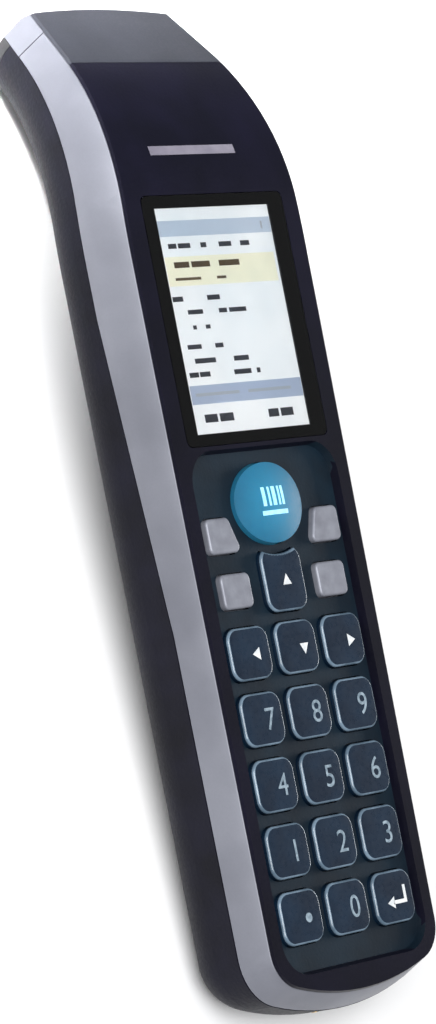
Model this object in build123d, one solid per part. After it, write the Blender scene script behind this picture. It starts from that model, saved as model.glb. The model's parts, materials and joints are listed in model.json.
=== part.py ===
from build123d import *
import os
from math import atan, atan2, cos, degrees, radians, sin, sqrt, tan

os.makedirs("parts", exist_ok=True)

# Portable barcode data terminal. Millimetres, +X to the right of the keypad,
# +Y from the tail towards the scanning head, +Z out of the keypad.
# The origin is on the flat back, where it carries the hand.

# ---- body envelope -------------------------------------------------------
body_thick = 18.0          # flat back to face
tail_reach = 61.2          # origin to the tail end
tail_half_width = 22.0     # widest half width at the tail
head_half_width = 22.9     # widest half width at the head, where the sides start to close in
bend_y = 66.0              # face and back both bend down from here
bend_angle = 38.0          # how far the head turns down, degrees
face_bend_r = 43.0
back_bend_r = 36.0
nose_run = 11.4            # straight stretch of the face beyond the bend
plan_bend_y = 60.0         # the sides close in towards the nose from here
plan_bend_r = 146.0
tail_end_r = 52.5          # gentle arc of the tail end, seen from above
tail_corner_r = 8.5
back_corner_r = 8.0        # round between sides and back
slope_run = 2.5            # the sides lean in by this much ...
slope_drop = 5.4           # ... over this height below the face
scan_tilt = 36.0           # the scan face looks this far below +Y, degrees
nose_bulge_r = 150.0
nose_corner_r = 3.5
nose_half_width = 17.4
nose_flare = 20.0          # how much wider the nose outline gets towards the tail
stand_margin = 9.2         # tail end to the straight edge of the back, which the body stands on
stand_slope = 8.0          # rise of the back beyond that edge, degrees

# ---- shells --------------------------------------------------------------
fit_gap = 0.1              # between shells that close on each other
face_wall = 2.4
shell_wall = 1.8
band_wall = 1.4
skirt_wall = 1.2
band_lip = 0.5             # edge of the face that shows above the band
band_low_tail = 12.6       # lower edge of the band above the back, keypad end
band_low_head = 9.8        # the same at the display
band_taper_start = 0.0     # along Y, where the lower edge starts to drop
band_taper_end = 50.0
band_bend_y = 68.0
band_bend_r = 41.0
tongue_rise = 1.2          # rear shell's tongue above the band's lower edge
tongue_root = 1.0
seal_thick = 0.8
seal_inset = 0.1
seal_air = 0.05
cap_angle = 34.9           # the grey cap starts this far round the bend, degrees
cap_wall = 1.6
trim_length = 5.2          # side tips of the nose trim, behind the scan face
trim_depth = 3.6           # lower edge of the trim below the face, across the nose
scan_frame_thick = 2.2

# ---- keypad --------------------------------------------------------------
recess_depth = 1.3
recess_half_width = 16.9
recess_margin = 6.8        # tail end to the recess
recess_head_y = 26.6
recess_corner_r = 5.0
recess_draft = 20.0
key_pitch_x = 11.2
row_count = 5
row_gap = 2.0              # between rows of keys
keypad_margin = 11.05      # tail end to the bottom row of keys
arrow_gap = 1.55           # between the arrow keys and the up key
key_width = 9.4
key_corner_r = 2.2
key_rise = 1.0             # key top above the recess floor
key_gap = 0.2              # round each key in its opening
key_edge_r = 0.45
key_travel = 0.8
flange_lip = 0.45
flange_thick = 0.7
flange_gap = 0.3
up_key_low = 0.9
up_key_high = 11.0
scan_key_y = 18.1
scan_key_width = 15.8
scan_key_height = 12.8
scan_key_dome = 1.9        # top of the scan key above the recess floor
scan_key_edge = 0.6        # its edge above the recess floor
ring_gap = 1.7             # between the scan key and the key cut round it
soft_key_corner_r = 1.0
upper_soft_y = (11.0, 16.6)
upper_soft_outer = 15.7
upper_soft_inner = (8.4, 10.4)
lower_soft_y = (2.3, 7.8)
lower_soft_x = (8.0, 14.8)

# ---- display -------------------------------------------------------------
view_width = 27.0
view_height = 35.8
view_y = 47.65
window_margin_x = 3.2      # window beyond the visible area, each side
window_margin_y = 1.9
window_thick = 0.8
window_corner_r = 1.2
gasket_thick = 0.3
lcd_border_x = 0.9         # panel glass beyond the visible area, each side
lcd_border_y = 0.7
lcd_thick = 2.4
lcd_gap = 0.2              # round the panel
lcd_air = 0.05             # between the panel and the gasket
tray_wall = 1.0
tray_gap = 0.1             # under the face

# ---- boards and battery --------------------------------------------------
nub_r = 1.5
nub_drop = 0.4
dome_gap = 0.1
dome_r = 2.2
dome_rise = 0.35
sheet_thick = 0.15
sheet_inset = 0.4
sheet_head_y = 24.6
board_thick = 1.0
board_half_width = 16.4
board_margin = 9.6         # tail end to the board
board_head_y = 70.0
board_tongue = 5.5         # half width of the board's tongue to the charging contacts
tongue_margin = 3.7        # and to the end of its tongue
frame_plate = 1.0
frame_rail = 1.4
post_height = 0.5
post_r = 1.2
battery_width = 32.0
battery_margin = 21.2      # tail end to the battery
battery_head_y = 20.0
battery_thick = 8.0
battery_corner_r = 1.5
bay_gap = 0.4
bay_wall = 1.0
ledge_thick = 1.4
ledge_land = 1.0
cover_thick = 1.6
cover_gap = 0.15
cover_margin_head = 3.2    # cover beyond the battery bay
cover_margin_tail = 7.0
hook_x = 10.0
hook_width = 4.0
hook_reach = 1.4
hook_root = 3.0
hook_thick = 1.0
pad_thick = 0.3
pad_width = 2.0
pad_air = 0.1

# ---- cover latch ---------------------------------------------------------
latch_travel = 1.6
latch_knob = (9.0, 3.2, 0.8)
latch_stem = (4.8, 1.6)
latch_plate = (11.0, 4.7, 0.7)
latch_gap = 0.15
latch_lift = 0.1
latch_recess = 0.9
latch_end = 1.0            # cover left beyond the latch's slot
latch_ridge = 0.3

# ---- fasteners and the strap hole ----------------------------------------
screw_r = 0.95
screw_head_r = 1.8
screw_head_thick = 1.4
screw_length = 8.0
screw_gap = 0.05
bore_wall = 1.0
boss_wall = 1.3
boss_split = 5.4           # from the screw's seat to where the two bosses meet
tail_screw_at = (9.0, 7.2, 2.6)  # across, from the tail end, and the height of the seat
head_screw = (13.0, 75.5, 1.6)
strap_r = 1.5
strap_wall = 1.4
strap_x = 14.6
strap_depth = 2.6          # hole centre below the rounded edge

# ---- charging contacts ---------------------------------------------------
contact_r = 0.6
contact_pitch = 2.4
contact_count = 4
contact_z = 9.9
contact_sink = 0.1         # contacts behind the tail's surface
contact_block_width = 10.0
contact_block_height = 3.8
spring_pitch = 4.0
spring_count = 3
spring_size = 1.8
spring_margin = 4.0        # battery end to the springs
spring_slot = 1.5

# ---- parts under the board -----------------------------------------------
radio_size = (14.0, 16.0, 2.6)
radio_at = (-7.5, 34.0)
shield_size = (24.0, 20.0, 2.4)
shield_at = (0.0, 56.0)
cell_r = 6.2
cell_thick = 2.0
cell_at = (8.5, 34.0)
antenna_size = (6.0, 1.6, 1.0)
antenna_at = (11.0, 68.4)
flex_width = 12.0
flex_thick = 1.2
buzzer_r = 6.0
buzzer_thick = 3.5
buzzer_at = (8.5, 34.0)
slot_width = 0.8
slot_length = 6.0
slot_pitch = 2.2
slot_count = 3
motor_r = 2.2
motor_length = 9.0
motor_at = (-5.5, 52.0)
motor_shaft_r = 0.4
motor_shaft_grip = 6.0
running_gap = 0.05
weight_r = 2.4
weight_length = 3.2
weight_gap = 0.4

# ---- scan engine, measured down the scan face from the nose and behind it -
window_size = (24.0, 7.0)
window_down = 8.2
window_glass = 1.2
aperture_lip = 0.9         # frame over the window's edge
aperture_thick = 0.6
engine_width = 20.0
engine_down = (4.0, 12.6)
engine_back = (4.4, 16.2)
engine_wall = 0.8
cradle_width = 12.0
cradle_margin = 1.5
laser_x = -6.2
laser_r = 2.0
laser_length = 6.0
laser_down = 7.8
mirror_x = 3.4
mirror_back = 9.6
mirror_width = 7.0
mirror_height = 5.0
mirror_thick = 0.6
mirror_top = 6.2
mirror_hub_r = 1.1
mirror_pin_r = 0.5
mirror_swing = 12.0
collector_width = 12.0
collector_height = 6.6
collector_thick = 1.8
collector_curve = 24.0
sensor_size = (1.0, 3.0, 3.0)

slope_angle = degrees(atan(slope_run / slope_drop))
face_centre = (bend_y, body_thick - face_bend_r)
back_centre = (bend_y, -back_bend_r)
bend_side = (sin(radians(bend_angle)), cos(radians(bend_angle)))
bend_along = (bend_side[1], -bend_side[0])
nose = (face_centre[0] + face_bend_r * bend_side[0] + nose_run * bend_along[0],
        face_centre[1] + face_bend_r * bend_side[1] + nose_run * bend_along[1])
scan_out = (cos(radians(scan_tilt)), -sin(radians(scan_tilt)))
scan_up = (sin(radians(scan_tilt)), cos(radians(scan_tilt)))
reach = 60.0               # more than the body's half width, for cutting solids
far_run = 25.0             # straight stretch of the cutting solids beyond the bend
far_y = 118.0
spare = 2.0                # how far a cutting solid stands proud of the body
skin = 0.25                # or stays below its surface
past_tail = 10.0
start_y = -tail_reach - past_tail

# ---- places that follow the tail end, and the rows that share the room between it and the up key
stand_y = stand_margin - tail_reach
recess_tail_y = recess_margin - tail_reach
board_tail_y = board_margin - tail_reach
board_tongue_y = tongue_margin - tail_reach
battery_tail_y = battery_margin - tail_reach
spring_y = battery_tail_y + spring_margin
tail_screw = (tail_screw_at[0], tail_screw_at[1] - tail_reach, tail_screw_at[2])
row_room = up_key_low - arrow_gap - (keypad_margin - tail_reach)
key_height = (row_room - (row_count - 1) * row_gap) / row_count
key_pitch_y = key_height + row_gap
first_row_y = keypad_margin - tail_reach + key_height / 2

# ---- levels through the body ---------------------------------------------
face_under = body_thick - face_wall
recess_floor = body_thick - recess_depth
key_top = recess_floor + key_rise
flange_top = face_under - flange_gap
flange_low = flange_top - flange_thick
nub_low = flange_low - nub_drop
board_top = nub_low - key_travel - dome_gap - dome_rise - sheet_thick
board_low = board_top - board_thick
frame_top = board_low - post_height
frame_low = frame_top - frame_plate
battery_low = cover_thick + pad_thick + pad_air
bay_half = battery_width / 2 + bay_gap
bay_tail_y = battery_tail_y - bay_gap
bay_head_y = battery_head_y + bay_gap
cover_tail_y = bay_tail_y - cover_margin_tail
cover_head_y = bay_head_y + cover_margin_head
seat_top = body_thick - window_thick - gasket_thick


def across(sketch):
    """Solid of a side view region, right across the body."""
    return extrude(sketch, amount=reach, both=True)


def side_region(edges):
    """Closed region of the side view: X is the body's Y, Y is its Z."""
    with BuildSketch(Plane.YZ) as sketch:
        with BuildLine():
            for edge in edges:
                add(edge)
        make_face()
    return sketch.sketch


def bent_line(centre, radius, run=far_run):
    """Side view edges of a surface that is flat, bends about centre and runs on straight."""
    level = centre[1] + radius
    middle = radians(bend_angle / 2)
    bend_mid = (centre[0] + radius * sin(middle), centre[1] + radius * cos(middle))
    bend_end = (centre[0] + radius * bend_side[0], centre[1] + radius * bend_side[1])
    tip = (bend_end[0] + run * bend_along[0], bend_end[1] + run * bend_along[1])
    edges = [Line((start_y, level), (centre[0], level)),
             ThreePointArc((centre[0], level), bend_mid, bend_end),
             Line(bend_end, tip)]
    return edges, (start_y, level), tip


def layer(low, high):
    """Everything between two bent lines, right across the body."""
    low_edges, low_start, low_tip = low
    high_edges, high_start, high_tip = high
    return across(side_region(
        low_edges + high_edges + [Line(low_start, high_start), Line(low_tip, high_tip)]))


def under_face(depth, run=far_run):
    return bent_line(face_centre, face_bend_r - depth, run)


def over_back(height, run=far_run):
    return bent_line(back_centre, back_bend_r + height, run)


def band_line(rise):
    """Lower edge of the silver band, shifted by rise: level, tapering, level, then bent."""
    centre = (band_bend_y, band_low_head - band_bend_r)
    edges, start, tip = bent_line(centre, band_bend_r + rise)
    tail_z = band_low_tail + rise
    head_z = band_low_head + rise
    edges = [Line((start_y, tail_z), (band_taper_start, tail_z)),
             Line((band_taper_start, tail_z), (band_taper_end, head_z)),
             Line((band_taper_end, head_z), (band_bend_y, head_z))] + edges[1:]
    return edges, (start_y, tail_z), tip


def scan_point(up, back):
    """Side view point: up the scan face from the nose, and behind it."""
    return (nose[0] + up * scan_up[0] - back * scan_out[0],
            nose[1] + up * scan_up[1] - back * scan_out[1])


def block(x_size, y_low, y_high, z_low, z_high, x_mid=0.0):
    """Box given by its width and its limits along Y and Z."""
    return Pos(x_mid, (y_low + y_high) / 2, (z_low + z_high) / 2) * Box(
        x_size, y_high - y_low, z_high - z_low)


def rounded_block(x_size, y_low, y_high, z_low, z_high, radius, x_mid=0.0):
    plate = Pos(x_mid, (y_low + y_high) / 2, z_low) * RectangleRounded(x_size, y_high - y_low, radius)
    return extrude(plate, amount=z_high - z_low)


def rod(x, y, z_low, z_high, radius):
    return Pos(x, y, (z_low + z_high) / 2) * Cylinder(radius, z_high - z_low)


def rim_edges(body, centre, radius):
    """Edges that run along the sides of a bent surface of the body."""
    found = []
    for edge in body.edges():
        along = edge.tangent_at(0.5)
        if edge.geom_type == GeomType.LINE and abs(along.X) > 0.99:
            continue
        if all(off_surface(edge.position_at(share), centre, radius) < 0.01 for share in (0.05, 0.5, 0.95)):
            found.append(edge)
    return found


def off_surface(point, centre, radius):
    """Distance of a point from a bent surface."""
    y = point.Y - centre[0]
    z = point.Z - centre[1]
    if y < 0:
        return abs(z - radius)
    if degrees(atan2(y, z)) < bend_angle:
        return abs(sqrt(y ** 2 + z ** 2) - radius)
    return abs(y * bend_side[0] + z * bend_side[1] - radius)


def envelope(side=0.0, top=0.0, back=0.0, front=0.0):
    """The whole body, drawn in from its outer surface."""
    profile = layer(over_back(back), under_face(top))
    body = (profile & extrude(plan_outline(side), amount=reach, both=True)).solids()[0]
    rounded = fillet(rim_edges(body, back_centre, back_bend_r + back), back_corner_r - side)
    drop = slope_drop - top + side * tan(radians(slope_angle / 2))
    rim = rim_edges(body, face_centre, face_bend_r - top)
    face = body.faces().filter_by(GeomType.PLANE).filter_by(lambda f: f.normal_at().Z > 0.99)[0]
    long_rim = [e for e in rim if e.center().Y < plan_bend_y and abs(e.center().X) > tail_half_width / 2][0]
    leaning = chamfer(long_rim, drop * tan(radians(slope_angle)), drop, reference=face)
    return rounded & leaning & nose_room(front)


def plan_outline(side):
    """Outline of the body seen from above, drawn in by side."""
    tail_x = tail_half_width - side
    head_x = head_half_width - side
    end_r = tail_end_r - side
    end_y = -(tail_reach - side)
    corner_y = end_y + end_r - sqrt(end_r ** 2 - tail_x ** 2)
    bend_r = plan_bend_r - side
    far_x = head_x - bend_r + sqrt(bend_r ** 2 - (far_y - plan_bend_y) ** 2)
    mid_y = (plan_bend_y + far_y) / 2
    mid_x = head_x - bend_r + sqrt(bend_r ** 2 - (mid_y - plan_bend_y) ** 2)
    with BuildSketch() as plan:
        with BuildLine():
            ThreePointArc((-tail_x, corner_y), (0, end_y), (tail_x, corner_y))
            Line((tail_x, corner_y), (head_x, plan_bend_y))
            ThreePointArc((head_x, plan_bend_y), (mid_x, mid_y), (far_x, far_y))
            Line((far_x, far_y), (-far_x, far_y))
            ThreePointArc((-far_x, far_y), (-mid_x, mid_y), (-head_x, plan_bend_y))
            Line((-head_x, plan_bend_y), (-tail_x, corner_y))
        make_face()
        fillet([v for v in plan.vertices() if v.Y < 0], tail_corner_r - side)
    return plan.sketch


def nose_room(front):
    """Everything behind the scan face and the bulging, rounded nose."""
    low = scan_point(-far_run, front)
    high = scan_point(far_run, front)
    behind = across(side_region([Polyline(low, high, (-2 * reach, high[1]), (-2 * reach, low[1]), low)]))
    end_y = nose[0] - front
    edge_r = nose_bulge_r - front
    sag = edge_r - sqrt(edge_r ** 2 - nose_half_width ** 2)
    with BuildSketch() as plan:
        with BuildLine():
            ThreePointArc((-nose_half_width, end_y - sag), (0, end_y), (nose_half_width, end_y - sag))
            Polyline((nose_half_width, end_y - sag), (nose_half_width + nose_flare, end_y - reach),
                     (nose_half_width + nose_flare, -2 * reach), (-nose_half_width - nose_flare, -2 * reach),
                     (-nose_half_width - nose_flare, end_y - reach), (-nose_half_width, end_y - sag))
        make_face()
        fillet([v for v in plan.vertices() if v.Y > 0 and v.Y > end_y - reach / 2], nose_corner_r)
    return behind & extrude(plan.sketch, amount=reach, both=True)


def behind_scan(back):
    """Everything further back than this from the scan face."""
    low = scan_point(-far_run, back)
    high = scan_point(far_run, back)
    return across(side_region([Polyline(low, high, (-2 * reach, high[1]), (-2 * reach, low[1]), low)]))


def scan_block(width, down_low, down_high, back_low, back_high, x_mid=0.0):
    """Box in the scan face's own directions."""
    local = Pos(x_mid, (down_low + down_high) / 2, -(back_low + back_high) / 2) * Box(
        width, down_high - down_low, back_high - back_low)
    return scan_frame.from_local_coords(local)


def ring(outside, inside, band):
    """Wall between two envelopes, kept inside a layer."""
    return (outside & band) - inside


def save(name, shape):
    export_step(shape, f"parts/{name}.step")


# ---- outlines of the keys ------------------------------------------------
def row_y(row):
    return first_row_y + row * key_pitch_y


def plain_outline(column, row, growth):
    return Pos(column * key_pitch_x, row_y(row)) * RectangleRounded(
        key_width + 2 * growth, key_height + 2 * growth, key_corner_r + growth)


def scan_outline(growth):
    return Pos(0, scan_key_y) * Ellipse(scan_key_width / 2 + growth, scan_key_height / 2 + growth)


def up_outline(growth):
    middle = (up_key_low + up_key_high) / 2
    full = Pos(0, middle) * RectangleRounded(
        key_width + 2 * growth, up_key_high - up_key_low + 2 * growth, key_corner_r + growth)
    return full - scan_outline(ring_gap - growth)


def soft_outline(side, upper, growth):
    """Grey key beside the scan key; the inner edge of the upper one leans."""
    low, high = upper_soft_y if upper else lower_soft_y
    inner_low, inner_high = upper_soft_inner if upper else (lower_soft_x[0], lower_soft_x[0])
    outside = upper_soft_outer if upper else lower_soft_x[1]
    corners = [(inner_low - growth, low - growth), (outside + growth, low - growth),
               (outside + growth, high + growth), (inner_high - growth, high + growth)]
    outline = make_face(Polyline([(side * x, y) for x, y in corners], close=True))
    return fillet(outline.vertices(), soft_key_corner_r + growth)


plain_keys = {"key_7": (-1, 3), "key_8": (0, 3), "key_9": (1, 3),
              "key_4": (-1, 2), "key_5": (0, 2), "key_6": (1, 2),
              "key_1": (-1, 1), "key_2": (0, 1), "key_3": (1, 1),
              "key_dot": (-1, 0), "key_0": (0, 0), "key_enter": (1, 0),
              "key_left": (-1, 4), "key_down": (0, 4), "key_right": (1, 4)}
soft_keys = {"key_f1": (-1, True), "key_f2": (1, True), "key_f3": (-1, False), "key_f4": (1, False)}
key_names = list(plain_keys) + list(soft_keys) + ["key_up", "key_scan"]


def key_outline(name, growth=0.0):
    """Outline of a key's cap, grown all round."""
    if name in plain_keys:
        return plain_outline(*plain_keys[name], growth)
    if name in soft_keys:
        return soft_outline(*soft_keys[name], growth)
    if name == "key_up":
        return up_outline(growth)
    return scan_outline(growth)


def key_centre(name):
    middle = key_outline(name).bounding_box().center()
    return middle.X, middle.Y


def key_solid(name):
    """Cap through the face, flange under it and nub over its dome."""
    outline = key_outline(name)
    x, y = key_centre(name)
    if name == "key_scan":
        cap = scan_key_cap(outline)
    else:
        cap = extrude(Pos(0, 0, flange_low) * outline, amount=key_top - flange_low)
        cap = fillet(cap.faces().sort_by(Axis.Z)[-1].edges(), key_edge_r)
    flange = extrude(Pos(0, 0, flange_low) * key_outline(name, key_gap + flange_lip), amount=flange_thick)
    return cap + flange + rod(x, y, nub_low, flange_low + flange_thick / 2, nub_r)


def scan_key_cap(outline):
    """Oval cap with a domed top."""
    rim = recess_floor + scan_key_edge
    crown = recess_floor + scan_key_dome
    half = scan_key_width / 2
    rise = crown - rim
    ball_r = (half ** 2 + rise ** 2) / (2 * rise)
    cap = extrude(Pos(0, 0, flange_low) * outline, amount=crown - flange_low)
    return cap & (Pos(0, scan_key_y, crown - ball_r) * Sphere(ball_r))


def core(side, proud):
    """The body drawn in at its sides, just under its face and back, proud of its front."""
    return envelope(side, skin, skin, -proud)


# ---- shells --------------------------------------------------------------
outer = envelope()
inner = envelope(shell_wall, skin, shell_wall, scan_frame_thick)
under_band = core(band_wall, spare)
inside_band = core(band_wall + fit_gap, spare)
inside_skirt = core(band_wall + fit_gap + skirt_wall, 2 * spare)
band_zone = layer(band_line(fit_gap), under_face(band_lip + fit_gap))
front_slab = outer - behind_scan(scan_frame_thick)


def cap_zone(gap):
    """Everything beyond the line where the grey cap starts, less a gap."""
    start = radians(cap_angle) + gap / face_bend_r
    far = (face_centre[0] + 2 * reach * sin(start), face_centre[1] + 2 * reach * cos(start))
    return across(side_region([Polyline(face_centre, far, (2 * far_y, far[1]),
                                        (2 * far_y, face_centre[1]), face_centre)]))


def bored(x, y, seat_z):
    """Room for a screw: head below the seat, shank above it."""
    head = rod(x, y, -reach, seat_z, screw_head_r + screw_gap)
    return head + rod(x, y, seat_z, seat_z + screw_length + screw_gap, screw_r + screw_gap)


screw_places = [(side * place[0], place[1], place[2]) for place in (tail_screw, head_screw) for side in (-1, 1)]


def rear_boss(x, y, seat_z):
    return rod(x, y, seat_z - screw_head_thick - 2 * shell_wall, seat_z + boss_split,
               screw_head_r + screw_gap + bore_wall)


def front_boss(x, y, seat_z):
    return rod(x, y, seat_z + boss_split + fit_gap, face_under, screw_r + boss_wall)


def tail_ease():
    """Everything under the slope that eases off the tail end of the back."""
    rise = tan(radians(stand_slope))
    low = (stand_y + shell_wall, -shell_wall * rise)
    far = (start_y, (stand_y - start_y) * rise)
    return across(side_region([Polyline(low, far, (far[0], -reach), (low[0], -reach), low)]))


def strap_hole(radius):
    """Slanting hole through the rounded edge of the tail."""
    end_y = -tail_reach + tail_end_r - sqrt(tail_end_r ** 2 - strap_x ** 2)
    offset_45 = (back_corner_r - strap_depth) * cos(radians(45))
    return Pos(strap_x, end_y + back_corner_r - offset_45, back_corner_r - offset_45) * Rot(45, 0, 0) * Cylinder(
        radius, 2 * tail_corner_r + 2 * back_corner_r)


def make_rear_housing():
    low_zone = layer(over_back(-shell_wall), band_line(0))
    shell = ring(outer, inner, low_zone) & behind_scan(scan_frame_thick + fit_gap)
    tongue_zone = layer(band_line(-tongue_root), band_line(tongue_rise))
    tongue = ring(inside_band, inside_skirt, tongue_zone) & behind_scan(scan_frame_thick + fit_gap)
    tongue = tongue & nose_room(band_wall + fit_gap)
    bay = block(2 * (bay_half + bay_wall), bay_tail_y - bay_wall, bay_head_y + bay_wall, shell_wall / 2, frame_low)
    ledge_low = shell_wall / 2
    ledges = block(2 * bay_half, cover_tail_y - ledge_land, bay_tail_y, ledge_low, cover_thick + ledge_thick)
    ledges += block(2 * bay_half, bay_head_y, cover_head_y + ledge_land, ledge_low, cover_thick + ledge_thick)
    cradle = scan_block(cradle_width, engine_down[1], engine_down[1] + far_run / 2,
                        engine_back[0] + cradle_margin, engine_back[1] - cradle_margin)
    extras = bay + ledges
    for place in screw_places:
        extras += rear_boss(*place)
    extras += strap_hole(strap_r + strap_wall) & block(reach, -reach * 2, 0, -reach, band_low_tail - tongue_root)
    housing = shell + tongue + ((extras + cradle) & envelope(shell_wall / 2, 0, shell_wall / 2))
    housing -= block(2 * bay_half, bay_tail_y, bay_head_y, -reach, body_thick)
    housing -= block(2 * bay_half, cover_tail_y - cover_gap, cover_head_y + cover_gap, -reach, cover_thick)
    housing -= hook_room()
    housing -= latch_room()
    for place in screw_places:
        housing -= bored(*place)
    housing -= tail_ease()
    housing -= strap_hole(strap_r)
    for index in range(contact_count):
        housing -= contact_rod(index, contact_r + running_gap, -reach * 2, -tail_reach + 3 * shell_wall)
    for index in range(slot_count):
        y = buzzer_at[1] + (index - (slot_count - 1) / 2) * slot_pitch
        housing -= rounded_block(slot_length, y - slot_width / 2, y + slot_width / 2, -shell_wall, 2 * shell_wall,
                                 slot_width * 0.49, buzzer_at[0])
    return housing


def hook_room():
    """Slots in the rear housing where the cover's hooks swing."""
    width = hook_width + 4 * cover_gap
    top = shell_wall + hook_thick + ledge_thick
    room = Part()
    for side in (-1, 1):
        room += block(width, bay_head_y - bay_wall, cover_head_y + cover_gap, cover_thick - fit_gap, top,
                      side * hook_x)
        room += block(width, cover_head_y, cover_head_y + hook_reach + ledge_land, shell_wall, top, side * hook_x)
    return room


def latch_room():
    """Space over the cover's tail end where the latch slides."""
    width = latch_plate[0] + 4 * cover_gap
    top = cover_thick + ledge_thick + latch_plate[2]
    room = block(width, cover_tail_y - cover_gap, bay_tail_y + bay_wall, cover_thick - fit_gap, top)
    return room + block(width, cover_tail_y - latch_travel - ledge_land, cover_tail_y, shell_wall, top)


def make_front_housing():
    lip = outer & layer(under_face(band_lip), under_face(-1))
    plate = inside_band & layer(under_face(face_wall), under_face(band_lip))
    skirt_zone = layer(band_line(tongue_rise + seal_thick), under_face(band_lip))
    skirt = ring(inside_band, inside_skirt, skirt_zone) & nose_room(band_wall + fit_gap)
    housing = lip + plate + skirt
    for place in screw_places:
        housing += front_boss(*place)
    housing = housing & behind_scan(scan_frame_thick + fit_gap)
    housing -= cap_zone(0) & layer(under_face(cap_wall + fit_gap), under_face(-1))
    recess = Pos(0, (recess_tail_y + recess_head_y) / 2, recess_floor) * RectangleRounded(
        2 * recess_half_width, recess_head_y - recess_tail_y, recess_corner_r)
    housing -= extrude(recess, amount=recess_depth, taper=-recess_draft)
    for name in key_names:
        housing -= extrude(Pos(0, 0, face_under - flange_gap) * key_outline(name, key_gap), amount=face_wall)
    housing -= window_shape(fit_gap, seat_top, body_thick + flange_gap)
    housing -= lcd_shape(lcd_gap, face_under - flange_gap, body_thick)
    for place in screw_places:
        housing -= bored(*place)
    return housing


def window_shape(growth, z_low, z_high):
    half_y = view_height / 2 + window_margin_y + growth
    return rounded_block(view_width + 2 * (window_margin_x + growth), view_y - half_y, view_y + half_y,
                         z_low, z_high, window_corner_r)


def lcd_shape(growth, z_low, z_high):
    half_y = view_height / 2 + lcd_border_y + growth
    return block(view_width + 2 * (lcd_border_x + growth), view_y - half_y, view_y + half_y, z_low, z_high)


def make_side_band():
    return ring(outer, under_band, band_zone) & behind_scan(trim_length + fit_gap)


def make_nose_trim():
    cheeks = ring(outer, under_band, band_zone) - behind_scan(trim_length)
    strip = front_slab & layer(under_face(trim_depth), under_face(cap_wall + fit_gap))
    return cheeks + strip


def make_scan_bezel():
    frame = front_slab & layer(over_back(-1), under_face(trim_depth + fit_gap))
    frame -= ring(outer, inside_band, layer(band_line(0), under_face(-1)))
    width, height = window_size
    low = window_down - height / 2
    high = window_down + height / 2
    frame -= scan_block(width - 2 * aperture_lip, low + aperture_lip, high - aperture_lip, -1, far_run)
    frame -= scan_block(width + 2 * fit_gap, low - fit_gap, high + fit_gap, aperture_thick, far_run)
    return frame


def make_head_cap():
    lip = outer & layer(under_face(band_lip), under_face(-1))
    plate = inside_band & layer(under_face(cap_wall), under_face(band_lip)) & nose_room(0)
    return (lip + plate) & cap_zone(fit_gap)


def contact_rod(index, radius, y_low, y_high):
    x = (index - (contact_count - 1) / 2) * contact_pitch
    return Pos(x, (y_low + y_high) / 2, contact_z) * Rot(90, 0, 0) * Cylinder(radius, y_high - y_low)


scan_frame = Plane(origin=(0, nose[0], nose[1]), x_dir=(1, 0, 0), z_dir=(0, scan_out[0], scan_out[1]))

save("rear_housing", make_rear_housing())
save("front_housing", make_front_housing())
save("side_band", make_side_band())
save("nose_trim", make_nose_trim())
save("scan_bezel", make_scan_bezel())
save("head_cap", make_head_cap())
seal_outside = core(band_wall + fit_gap + seal_inset, spare)
seal_inside = core(band_wall + fit_gap + skirt_wall - seal_inset, 2 * spare)
seal_zone = layer(band_line(tongue_rise + seal_air), band_line(tongue_rise + seal_thick - seal_air))
seal = ring(seal_outside, seal_inside, seal_zone)
save("housing_seal", seal & behind_scan(scan_frame_thick + fit_gap) & nose_room(band_wall + fit_gap))

# ---- display stack -------------------------------------------------------
view_half = view_height / 2
save("display_window", window_shape(0, body_thick - window_thick, body_thick))
view_hole = block(view_width, view_y - view_half, view_y + view_half, 0, body_thick)
save("display_gasket", window_shape(0, seat_top + seal_air, seat_top + gasket_thick) - view_hole)
lcd_top = seat_top - lcd_air
lcd_low = lcd_top - lcd_thick
save("lcd_module", lcd_shape(0, lcd_low, lcd_top))
tray = lcd_shape(lcd_gap / 2 + tray_wall, board_top, face_under - tray_gap) - lcd_shape(lcd_gap / 2, lcd_low, lcd_top)
save("lcd_tray", tray)
tray_head_y = view_y + view_half + lcd_border_y + lcd_gap / 2 + tray_wall
save("lcd_flex", block(flex_width, tray_head_y, board_head_y - fit_gap, board_top, board_top + flex_thick))

# ---- keys ----------------------------------------------------------------
for key_name in key_names:
    save(key_name, key_solid(key_name))
sheet = block(2 * (board_half_width - sheet_inset), board_tail_y + sheet_inset, sheet_head_y,
              board_top, board_top + sheet_thick)
for key_name in key_names:
    dome_x, dome_y = key_centre(key_name)
    sheet += rod(dome_x, dome_y, board_top, board_top + sheet_thick + dome_rise, dome_r)
save("dome_sheet", sheet)

# ---- boards, frame and what they carry -----------------------------------
board = block(2 * board_half_width, board_tail_y, board_head_y, board_low, board_top)
board += block(2 * board_tongue, board_tongue_y, board_tail_y, board_low, board_top)
save("main_board", board)
mid_frame = block(2 * board_half_width, board_tail_y, bay_head_y + bay_wall, frame_low, frame_top)
for side in (-1, 1):
    mid_frame += block(frame_rail, board_tail_y, bay_head_y + bay_wall, frame_low, board_low,
                       side * (board_half_width - frame_rail / 2))
for post_x in (-key_pitch_x, 0, key_pitch_x):
    for row in range(5):
        mid_frame += rod(post_x, row_y(row) + key_pitch_y / 2, frame_top - frame_plate / 2, board_low, post_r)
spring_half = spring_pitch * (spring_count - 1) / 2 + spring_size / 2 + spring_slot
mid_frame -= block(2 * spring_half, spring_y - spring_slot, spring_y + spring_slot, 0, board_low)
save("mid_frame", mid_frame)
battery_high = battery_low + battery_thick
save("battery_pack", rounded_block(battery_width, battery_tail_y, battery_head_y, battery_low, battery_high,
                                   battery_corner_r))
springs = Part()
for index in range(spring_count):
    springs += block(spring_size, spring_y - spring_size / 2, spring_y + spring_size / 2, battery_high, board_low,
                     (index - (spring_count - 1) / 2) * spring_pitch)
save("battery_contacts", springs)
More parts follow.
